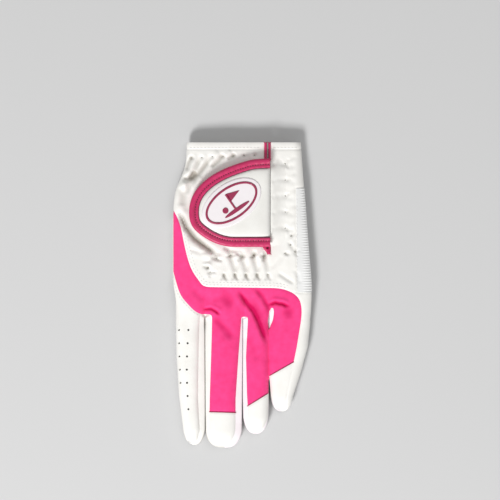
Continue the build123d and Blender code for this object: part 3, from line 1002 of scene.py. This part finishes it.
def finger_low(finger, s, y):
    """Outer surface of the palm side of a finger from a flat place."""
    x, level = roll_over(s, y)
    z = TIP_HEIGHT * (1 - level)
    lift = SEAM_EDGE * smooth(KNUCKLE_Y, KNUCKLE_Y - 7, y)
    for side in (0, 1):
        if (finger, side) in WEBS:
            inward = np.abs(x - low_side(finger, y, side))
            z = z + lift * (1 - np.clip(inward / 3.4, 0, 1)) ** 2
    return stack(x, y, TIP_HEIGHT + (z - TIP_HEIGHT) * round_over(y - TIP[finger], TIP_LOW_ROUND))


def tucked(shape, x, y, end=NOWHERE):
    """Places along a seam, given in plan: on a surface whose edge is turned in, but not at its end."""
    s = unroll(x, y)
    depth = (TUCK - 0.02) * smooth(end + 0.5, end + 4, y)
    return shape(s, y) - surface_normal(shape, s, y) * depth[:, None]


def bend(piece, finger, slot_name, *nodes):
    """Bakes the piece's transform into its mesh and hides the CAD nodes it stands for; slot_name is not used.
    """
    x, y, z = place(f"{finger}_flex")
    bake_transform(piece)
    if nodes:
        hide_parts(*nodes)


def finger_rows(finger):
    """The y of each row on the back and on the palm side, closer together at the tip."""
    g = np.sin(np.linspace(0, math.pi / 2, FINGER_ROWS))
    return [KNUCKLE_Y + (tip + 0.02 - KNUCKLE_Y) * g for tip in (TIP_TOP[finger], TIP[finger])]


def low_flat(finger, y, side):
    """Flat place of the edge of a finger's palm-side panel."""
    if (finger, side) in WEBS:
        return low_side(finger, y, side)
    if finger == "index":
        return silhouette(y, side) + roll_width(y, side) * 0.9
    return rolled_edge(y, side)


def build_finger_backs():
    """Backs of the fingers, each on its own outline; the index back has its vent holes."""
    for finger, node in ((finger, node) for finger in FINGERS for node in BACK_NODES[finger]):
        loops = []
        for loop in outline(node):
            if not loops:
                loop = resample(loop, 0.6, closed=True)
            if finger == "index" and not loops:
                middle = (top_side(finger, loop[:, 1], 0) + top_side(finger, loop[:, 1], 1)) / 2
                wider = 0.6 * smooth(-2, -5, loop[:, 0] - middle)
                loop[:, 0] -= wider * smooth(TIP_TOP[finger], -84, loop[:, 1])
            plan, y = loop.T.copy()
            for side in (0, 1):
                seam = top_side(finger, y, side)
                loop[:, 0] += (top_edge(finger, y, side) - seam) * smooth(3.0, 1.0, np.abs(plan - seam))
            y[y > KNUCKLE_Y - 0.5] = KNUCKLE_Y
            loops.append(stack(unroll(loop[:, 0], y), y))
        material, slot_name = (PINK, "pink_knit") if "knit" in node else (WHITE, "white_leather")
        # the finger backs get painted shade in their folds
        piece = panel_piece(f"{node}_cloth", loops, finger_back(finger), material, 0.72, painted_shade=painted_fold_shade,
                            end=TIP_TOP[finger])
        bend(piece, finger, slot_name, node)


def build_finger_palms():
    """Palm side of each finger."""
    for finger in FINGERS:
        y = finger_rows(finger)[1]
        s = between(low_flat(finger, y, 0), low_flat(finger, y, 1), np.linspace(0, 1, 26))
        y = y[:, None] + 0 * s
        piece = grid_piece(f"{finger}_palm_cloth", finger_low(finger, s, y), GRIP, flat=stack(s, y))
        bend(piece, finger, "palm_leather", f"{finger}_palm_side_panel")


def tip_row(finger, share):
    """The line at the very tip where a finger's side pieces meet: from its back to its palm side."""
    y_top, y_low = (rows[-1] for rows in finger_rows(finger))
    start = (sum(top_edge(finger, y_top, side) for side in (0, 1)) / 2, y_top, TIP_HEIGHT + 0.25)
    end = (sum(low_side(finger, y_low, side) for side in (0, 1)) / 2, y_low, TIP_HEIGHT - 0.1)
    return np.array(start) + np.subtract(end, start) * share[:, None]


def arch(finger, side):
    """Top and low paths of half a web, from its arch's top to the knuckle line."""
    web = WEBS[finger, side]
    apex = box(web)[1][1]
    turn = np.linspace(0, math.pi / 2, ARCH_ROWS)
    y = apex - (apex - KNUCKLE_Y) * (1 - np.cos(turn)) - 0.01 * np.cos(turn)
    edges = sides_of([web], np.clip(y, KNUCKLE_Y + 0.02, apex - 0.01)[::-1])
    x = edges[1 - side][::-1].copy()
    x[0] = (edges[0][-1] + edges[1][-1]) / 2
    left, right = [name for name in FINGERS if web in (WEBS.get((name, 0)), WEBS.get((name, 1)))]
    low_middle = (low_side(left, KNUCKLE_Y, 1) + low_side(right, KNUCKLE_Y, 0)) / 2
    low_x = low_middle + (low_side(finger, KNUCKLE_Y, side) - low_middle) * np.sin(turn)
    low_y = KNUCKLE_Y + 0.45 * (apex - KNUCKLE_Y) * np.cos(turn)
    return tucked(back_shape, x, y)[:-1], stack(low_x, low_y, 0.35)[:-1]


def strip_between(top, low, turn, columns=11):
    """A grid from a top path to a low path: it stays high, then turns down; the higher turn, the later."""
    share = np.sin(np.linspace(0, math.pi / 2, columns))
    grid = top[:, None] + (low - top)[:, None] * share[None, :, None]
    fall = 1 - np.sqrt(1 - share ** turn)
    grid[..., 2] = between(top[:, 2], low[:, 2], 0.14 * share + 0.86 * fall)
    return grid


def build_fourchettes():
    """Side strips between the fingers; each runs on over half of the arch at the web."""
    for finger, side, replaced in (
        ("index", 1, "index_fourchette"),
        ("middle", 0, "middle_fourchette_index_side"),
        ("middle", 1, "middle_fourchette_ring_side"),
        ("ring", 0, "ring_fourchette_middle_side"),
        ("ring", 1, "ring_fourchette_little_side"),
        ("little", 0, "little_fourchette"),
    ):
        web, little_tip = WEBS[finger, side], TIP_TOP["little"]
        at_index, at_little = web == WEBS["index", 1], web == WEBS["little", 0]
        y_top, y_low = finger_rows(finger)
        top = tucked(finger_back(finger), top_edge(finger, y_top, side), y_top, TIP_TOP[finger])
        low = finger_low(finger, low_side(finger, y_low, side), y_low)
        low[:, 2] = np.maximum(low[:, 2] + 0.12, 0.35)
        if at_little:
            hidden = smooth(-15, LITTLE_SPLIT, y_top) * smooth(little_tip + 4, little_tip + 14, y_top)
            top[:, 2] -= 0.45 * hidden
        arch_top, arch_low = arch(finger, side)
        top, low = np.vstack([arch_top, top]), np.vstack([arch_low, low])
        grid = strip_between(top, low, EARLY_TURN if at_little else LATE_TURN)
        share = np.linspace(0, 1, grid.shape[1])
        grid[-1] = tip_row(finger, share)
        y = grid[..., 1]
        # Painted shade on the strips: darker towards the gap, a shade spot at the index web's pit and near its
        # tip, and a dark line where the ring and little fingers touch.
        painted_shade = (0.22 if at_index else 0.12) * share ** 2 + 0 * y
        if at_index:
            painted_pit_shade = 0.75 * np.exp(-((y + 17.0) / 3.6) ** 2) + 0.45 * smooth(-62, -80, y)
            painted_shade += painted_pit_shade * smooth(0.35, 1.0, share)
        if at_little:
            painted_shade += smooth(-15, LITTLE_SPLIT, y) * smooth(little_tip, little_tip + 12, y)
        name = f"{finger}_side_{side}_cloth"
        piece = grid_piece(name, grid, WHITE if at_index else PINK_BOUNCE_LEATHER, 0.5, turned=side == 1, painted_shade=painted_shade)
        bend(piece, finger, "white_leather", replaced, *([web] if side else []))


def build_outer_sides():
    """The index finger's wrap below its side seam and the little finger's wrap above its."""
    y_top, y_low = finger_rows("index")
    x = np.maximum(silhouette(y_top, 0), top_edge("index", y_top, 0) - 0.6)
    top = tucked(finger_back("index"), x, y_top, TIP_TOP["index"])
    share = np.linspace(0, 1, 10)
    s = between(rolled_edge(y_low, 0), low_flat("index", y_low, 0), share)
    y = y_low[:, None] + 0 * s
    grid = finger_low("index", s, y)
    grid = grid + (top - grid[:, 0])[:, None] * (1 - share)[None, :, None] ** 2
    grid[-1] = tip_row("index", share)
    piece = grid_piece("index_wrap_cloth", grid, PALM, flat=stack(s, grid[..., 1]))
    bend(piece, "index", "palm_leather", "index_side_wrap")

    y_top, y_low = finger_rows("little")
    pink = top_edge("little", y_top, 1)
    share = np.linspace(0, 1, 14)
    s = between(unroll(pink, y_top), rolled_edge(y_top, 1), share)
    y = y_top[:, None] + 0 * s
    grid = finger_back("little")(s, y)
    grid[:, 0] = tucked(finger_back("little"), pink, y_top, TIP_TOP["little"])
    seam = finger_low("little", low_flat("little", y_low, 1), y_low)
    grid = grid + (seam - grid[:, -1])[:, None] * share[None, :, None] ** 2
    grid[-1] = tip_row("little", share)
    piece = grid_piece("little_wrap_cloth", grid, WHITE, flat=stack(s, y), turned=True)
    bend(piece, "little", "white_leather", "little_side_wrap")


def build_tip_shadow_cord():
    """A thin turned-in edge where each knit finger meets its leather tip, made dark as painted shadow: the
    shade that the tip panel's edge casts along the seam.
    """
    for finger in FINGERS[1:]:
        x, y = evenly(shared_path(f"{finger}_back_knit", f"{finger}_tip_panel"), 0.6).T
        centre = finger_back(finger)(unroll(x, y), y) - 0.05 * UP
        bend(tube(f"{finger}_tip_shadow_cord", centre, 0.26, BADGE_LINE), finger, "binding_leather")


# Wrist trims -------------------

def build_wrist_trims():
    """Slit binding, cuff hems and the loop patch under the tab."""
    loop = plate("slit_binding", 0.6)
    top = raised(loop, back_plan, 0.75, 0.9, start=0.1)
    piece = panel_piece("slit_edge_binding", [loop], top, BINDING, 0.5, thick=0.6, tuck=0)
    stand_in(piece, "hand", "binding_leather", "slit_binding")
    hems = []
    for i in range(len(outline("cuff_hem_back"))):
        hems.append(panel_piece(f"cuff_hem_{i}", [flat_loop("cuff_hem_back", i)], back_shape, WHITE, 0.8))
    stand_in(join("cuff_hem", hems), "hand", "white_leather", "cuff_hem_back")
    loop = plate("loop_patch", 0.6)
    top = raised(loop, back_plan, 0.95, 0.5, start=0.15)
    piece = panel_piece("loop_tape", [loop], top, LOOP, 0.8, thick=0.9, tuck=0)
    stand_in(piece, "hand", "hook_and_loop", "loop_patch")


def build_stitching():
    """Topstitch rows and the short stitches that hold the gathers."""
    knit_edge = resample(shared_path("wrist_panel", "back_knit_panel"), 0.6)
    rows = [offset_path(knit_edge, distance)[4:-4] for distance in (1.1, 2.7)]
    overlay_edge = resample(shared_path("index_knuckle_overlay", "back_knit_panel"), 0.6)
    rows.append(offset_path(overlay_edge, 1.2)[3:-3])
    rows += [stack(np.arange(*span, 0.5), CUFF_Y - 3.0) for span in ((-31, 10.5), (17.5, 33))]
    rows.append(stack(31.6, np.arange(3, 60, 0.5)))
    pieces = []
    for i, path in enumerate(rows):
        pieces.append(stitches(f"row_{i}", path, back_plan, THREAD, 1.5, 0.55, radius=0.17, lift=0.0))
    stand_in(join("back_topstitch", pieces), "hand", "white_leather")

    short = []
    for i, (x, y) in enumerate(DOTS):
        tilt = 0.5 * math.sin(2.3 * i)
        path = [(x - 0.75, y - tilt), (x, y), (x + 0.75, y + tilt)]
        short.append(stitches(f"dot_{i}", path, back_plan, DOT_THREAD, 1.2, 0.1, radius=0.26, lift=0.12))
    stand_in(join("gather_stitches", short), "hand", "elastic")


# Closure tab -------------------

def seam_to_seam(node):
    """Edge of a tab plate from the lower end of its seam round to the upper end."""
    loop = outline(node)[0]
    on_seam = loop[:, 0] > TAB_SEAM_X - 0.05
    start = next(i for i in range(len(loop)) if on_seam[i] and not on_seam[(i + 1) % len(loop)])
    loop, on_seam = np.roll(loop, -start, axis=0), np.roll(on_seam, -start)
    path = loop[:2 + np.argmax(on_seam[1:])]
    return path if path[0, 1] < path[-1, 1] else path[::-1]


TAB_EDGE = evenly(seam_to_seam("tab_panel"), 0.5)


def tab_face(x, y):
    """Outer surface of the padded face of the tab."""
    inward = edge_distance(TAB_EDGE, stack(x, y), closed=False)
    swell = CROWN * round_over(inward, CROWN_WIDTH) - 0.35 * (1 - smooth(0, 0.9, inward))
    to_seam = TAB_SEAM_X - x
    swell = swell * (0.25 + 0.75 * round_over(to_seam, 3.2)) - SEAM_DROP * (1 - round_over(to_seam, 9.0))
    dent = -0.16 * np.exp(-((x - 12.0) / 4.0) ** 2) * np.cos((y - 53) / 7.5)
    return stack(x, y, TAB_TOP + swell + dent * smooth(0, 2, inward))


# Section of the rolled binding, from the padded face out and round to the backing: across, up
BINDING_SECTION = [
    (-0.35, -0.55), (-0.15, -0.15), (0.15, 0.12), (0.6, 0.30), (1.1, 0.34), (1.55, 0.24), (1.9, 0.02),
    (2.25, 0.05), (2.6, 0.32), (3.1, 0.55), (3.7, 0.66), (4.3, 0.62), (4.85, 0.42), (5.25, 0.02),
    (5.5, -0.50), (5.55, -1.05), (5.35, -1.60), (4.9, -2.05), (4.2, -2.30), (3.2, -2.42), (2.0, -2.45),
    (0.8, -2.42), (-0.3, -2.40),
]
STITCH_VALLEY = 2.05  # place of the stitch row across the binding


def build_tab():
    """The closure tab: padded leather, foam and backing."""
    loop = outline("tab_panel")[0]
    piece = panel_piece("tab_leather", [loop], tab_face, TAB_WHITE, 0.8, tuck=0)
    stand_in(piece, "tab", "white_leather", "tab_panel")
    inner = resample(loop, 1.0, closed=True)
    inner = inner.mean(axis=0) + (inner - inner.mean(axis=0)) * 0.975
    foam = panel_piece("tab_foam", [inner], lifted(tab_face, -SKIN - 0.03), FOAM, 1.4, thick=0.9, tuck=0)
    stand_in(foam, "tab", "foam", "tab_padding")
    backing = panel_piece("tab_back_leather", [loop], level_at(TAB_LOW), PALM, 1.2, below=True, tuck=0)
    stand_in(backing, "tab", "palm_leather", "tab_backing")


def build_tab_binding():
    """The tab's rolled binding, its stitch row, and a dark cord along its inner edge that stands in for the
    shadow in the groove there.
    """
    run = unit(np.gradient(TAB_EDGE, axis=0))
    out = stack(-run[:, 1], run[:, 0])
    wave = 0.05 * np.sin(np.arange(len(TAB_EDGE)) * 0.9)
    columns = []
    for across, up in BINDING_SECTION:
        x, y = (TAB_EDGE + out * across).T
        columns.append(stack(np.minimum(x, TAB_SEAM_X), y, TAB_TOP + up + wave * (up > 0)))
    piece = grid_piece("tab_edge_binding", np.stack(columns, axis=1), BINDING, thick=0.55, turned=True)
    stand_in(piece, "tab", "binding_leather", "tab_binding")
    path, ground = TAB_EDGE + out * STITCH_VALLEY, level_at(TAB_TOP + 0.02)
    row = stitches("binding_stitch_row", path, ground, PINK_THREAD, 1.0, 0.5, radius=0.34, lift=0.04)
    stand_in(row, "tab", "binding_leather")
    # Painted shadow: a dark cord in the groove between the padded face and the binding, thicker along the
    # lower edge where the shadow is deepest.
    x, y = (TAB_EDGE + out * 0.05).T
    radius = 0.30 + 0.26 * smooth(-0.2, -1.0, out[:, 1])
    cord = tube("tab_inner_shadow_cord", stack(x, y, TAB_TOP - 0.12), radius, PINK_THREAD)
    stand_in(cord, "tab", "binding_leather")


def build_hook_patch():
    """Hook tape under the tab: a ground with rows of small pointed hooks."""
    hook = plate("hook_patch", 0.7)
    low = box("hook_patch")[0][2]
    ground = panel_piece("hook_tape", [hook], level_at(low), HOOK, 1.0, below=True, tuck=0)
    x, y = (np.arange(hook[:, axis].min() + 1, hook[:, axis].max(), 1.3) for axis in (0, 1))
    spines = stack(x[:, None], y).reshape(-1, 2)
    spines = spines[inside([hook], spines) & (edge_distance(hook, spines) > 0.6)]
    points, faces = [], []
    for x, y in spines:
        start = len(points)
        foot = ((-0.16, -0.16), (0.16, -0.16), (0.16, 0.16), (-0.16, 0.16))
        points += [(x + a, y + b, low + 0.1) for a, b in foot] + [(x + 0.1, y, low - 0.42)]
        faces += [(start + a, start + b, start + 4) for a, b in ((1, 0), (2, 1), (3, 2), (0, 3))]
        faces.append((start, start + 1, start + 2, start + 3))
    piece = join("hook_tape", [ground, make_object("spines", points, faces, HOOK, sharp=20)])
    stand_in(piece, "tab", "hook_and_loop", "hook_patch")


def build_badge():
    """The moulded oval badge, its raised ring, and a golf flag, a ball and a green."""
    base = plate("badge_base", 0.5)
    top = raised(base, tab_face, BADGE_LIFT, 0.8, start=-0.1)
    stand_in(panel_piece("badge_oval", [base], top, BADGE, 0.55, thick=0.5, tuck=0), "tab", "badge_base",
             "badge_base")
    loops = [plate("badge_ring", 0.45, which) for which in (0, 1)]

    def ring_top(x, y):
        near = np.minimum(*(edge_distance(loop, stack(x, y)) for loop in loops))
        return tab_face(x, y) + np.outer(BADGE_LIFT + BADGE_RIM * round_over(near, 0.55), UP)
    ring = panel_piece("badge_oval_ring", loops, ring_top, BADGE_LINE, 0.34, thick=0.45, tuck=0)
    stand_in(ring, "tab", "badge_line", "badge_ring")
    marks = []
    for i in range(len(outline("badge_emblem"))):
        loop = plate("badge_emblem", 0.3, i)
        top = raised(loop, lifted(tab_face, BADGE_LIFT), BADGE_RIM, 0.4)
        marks.append(panel_piece(f"emblem_{i}", [loop], top, BADGE_LINE, 0.3, thick=0.4, tuck=0))
    stand_in(join("badge_flag_and_ball", marks), "tab", "badge_line", "badge_emblem")


def build_seam_welt():
    """The leather fold where the tab is sewn on: it comes down from the tab to the back of the hand."""
    low, high = box("tab_seam_welt")
    y = np.arange(low[1], high[1], 0.8)[:, None]
    x = np.array([16.15, 16.1, 16.25, 16.7, 17.3, 17.9, 18.5, 19.3, 20.4, 21.6, 23.0, 24.6, 26.2]) + 0 * y
    share = [0.45, 0.8, 0.97, 1.0, 0.96, 0.90, 0.82, 0.70, 0.53, 0.36, 0.19, 0.06, 0.0]
    ends = smooth(0, 9.0, np.minimum(y - low[1], high[1] - y) + 0.8)
    ground = back_plan(x, y + 0 * x)[..., 2] - 0.12
    crest = TAB_TOP - 1.9 + 0.12 * np.sin(y / 3.1)
    z = ground + (crest - ground) * share * ends + pits(x, y, NEAR_COLUMN, 0.9, 0.9, 0.4)
    piece = grid_piece("tab_seam_fold", stack(x, y, z), WHITE, thick=0.5)
    stand_in(piece, "hand", "white_leather", "tab_seam_welt")


# Thumb -------------------------

def thumb_face(height, seam):
    """Surface of one face of the folded thumb, which turns to its edge seam all round but at the root."""
    loop = plate("thumb_back_panel", 0.8)
    free = loop[loop[:, 0] > box("thumb_back_panel")[0][0] + 0.3]
    gap = np.argmax(np.linalg.norm(np.roll(free, -1, axis=0) - free, axis=1))
    free = np.roll(free, -1 - int(gap), axis=0)

    def shape(x, y):
        near = np.maximum(edge_distance(free, stack(x, y), closed=False) - 0.12, 0)
        return stack(x, y, seam + (height - seam) * round_over(near, THUMB_ROUND))
    return shape


def build_thumb():
    """The folded thumb, and the two pieces that join its root to the hand, round the fold."""
    top = box("thumb_pad_panel")[1][2]
    loop = [outline("thumb_back_panel")[0]]
    face = thumb_face(0.0, top / 2)
    back = panel_piece("thumb_back_leather", loop, face, WHITE, 1.0, below=True, tuck=0.1)
    face = thumb_face(top, top / 2)
    pad = panel_piece("thumb_pad_leather", loop, face, PALM, 1.0, thick=0.5, tuck=0.1)
    stand_in(pad, "thumb", "palm_leather", "thumb_pad_panel")
    stand_in(back, "thumb", "white_leather", "thumb_back_panel")

    axis_x, axis_y, _ = place("thumb_swing")
    y = np.linspace(8.6, 44.4, 46)
    share = np.linspace(0, 1, 12)
    edge = silhouette(y, 0)
    root = np.full(len(y), box("thumb_back_panel")[0][0] + 0.1)
    outside = side_height(y) - 0.1
    lining_z = palm_shape(unroll(edge + 1.1, y), y)[:, 2] + 0.2
    bow = 0.05 - 0.55 * np.sin(math.pi * share)
    for name, hand_x, bulge, hand_z, thumb_z, end_z, material, slot_name, thick in (
        ("thumb_root_wrap", edge, bow, outside, 0.12, 0.1, WHITE, "white_leather", 0.5),
        ("thumb_root_lining", edge + 1.1, 0, lining_z, top - 0.1, top, PALM, "palm_leather", 0.4),
    ):
        is_wrap = name == "thumb_root_wrap"
        x, z = between(hand_x, root, share) + bulge, between(hand_z, thumb_z + 0 * y, share)
        piece = grid_piece(name, stack(x, y[:, None], z), material, thick, turned=is_wrap)
        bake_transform(piece)
        if is_wrap:
            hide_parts("thumb_gusset")


# Stage -------------------------

def build_stage():
    """A pale floor, soft light from the lower left and a weak fill, and the camera looking straight down."""
    bpy.ops.mesh.primitive_plane_add(size=3.0, location=(0, 0, -0.0004))
    floor = bpy.context.object
    floor.name = "floor"
    floor.data.materials.append(Nodes("floor_paper", (0.60, 0.60, 0.60), 0.9, specular=0.1).material)

    scene = bpy.context.scene
    scene.world = bpy.data.worlds.new("room")
    scene.world.use_nodes = True
    room = scene.world.node_tree.nodes["Background"].inputs
    room["Color"].default_value = (1.0, 1.0, 1.0, 1)
    room["Strength"].default_value = 0.38

    for name, where, size, watts in (
        ("key_light", (-0.65, -1.45, 1.40), 0.55, 42.0),
        ("fill_light", (0.60, 0.60, 1.8), 1.4, 7.0),
    ):
        data = bpy.data.lights.new(name, "AREA")
        data.size, data.energy = size, watts
        lamp = bpy.data.objects.new(name, data)
        scene.collection.objects.link(lamp)
        lamp.location = where
        aim = Vector((0.0, 0.02, 0.0)) - lamp.location
        lamp.rotation_euler = aim.to_track_quat("-Z", "Y").to_euler()

    data = bpy.data.cameras.new("camera")
    data.type = "ORTHO"
    data.ortho_scale = VIEW_WIDTH
    scene.camera = bpy.data.objects.new("camera", data)
    scene.collection.objects.link(scene.camera)
    scene.camera.location = CAMERA_PLACE
    scene.view_settings.view_transform = "Standard"


for build in (build_back_of_hand, build_palm, build_elastic_strip, build_inner_tapes, build_finger_backs,
              build_finger_palms, build_fourchettes, build_outer_sides, build_tip_shadow_cord, build_wrist_trims,
              build_stitching, build_tab, build_tab_binding, build_hook_patch, build_badge, build_seam_welt,
              build_thumb, build_stage):
    build()
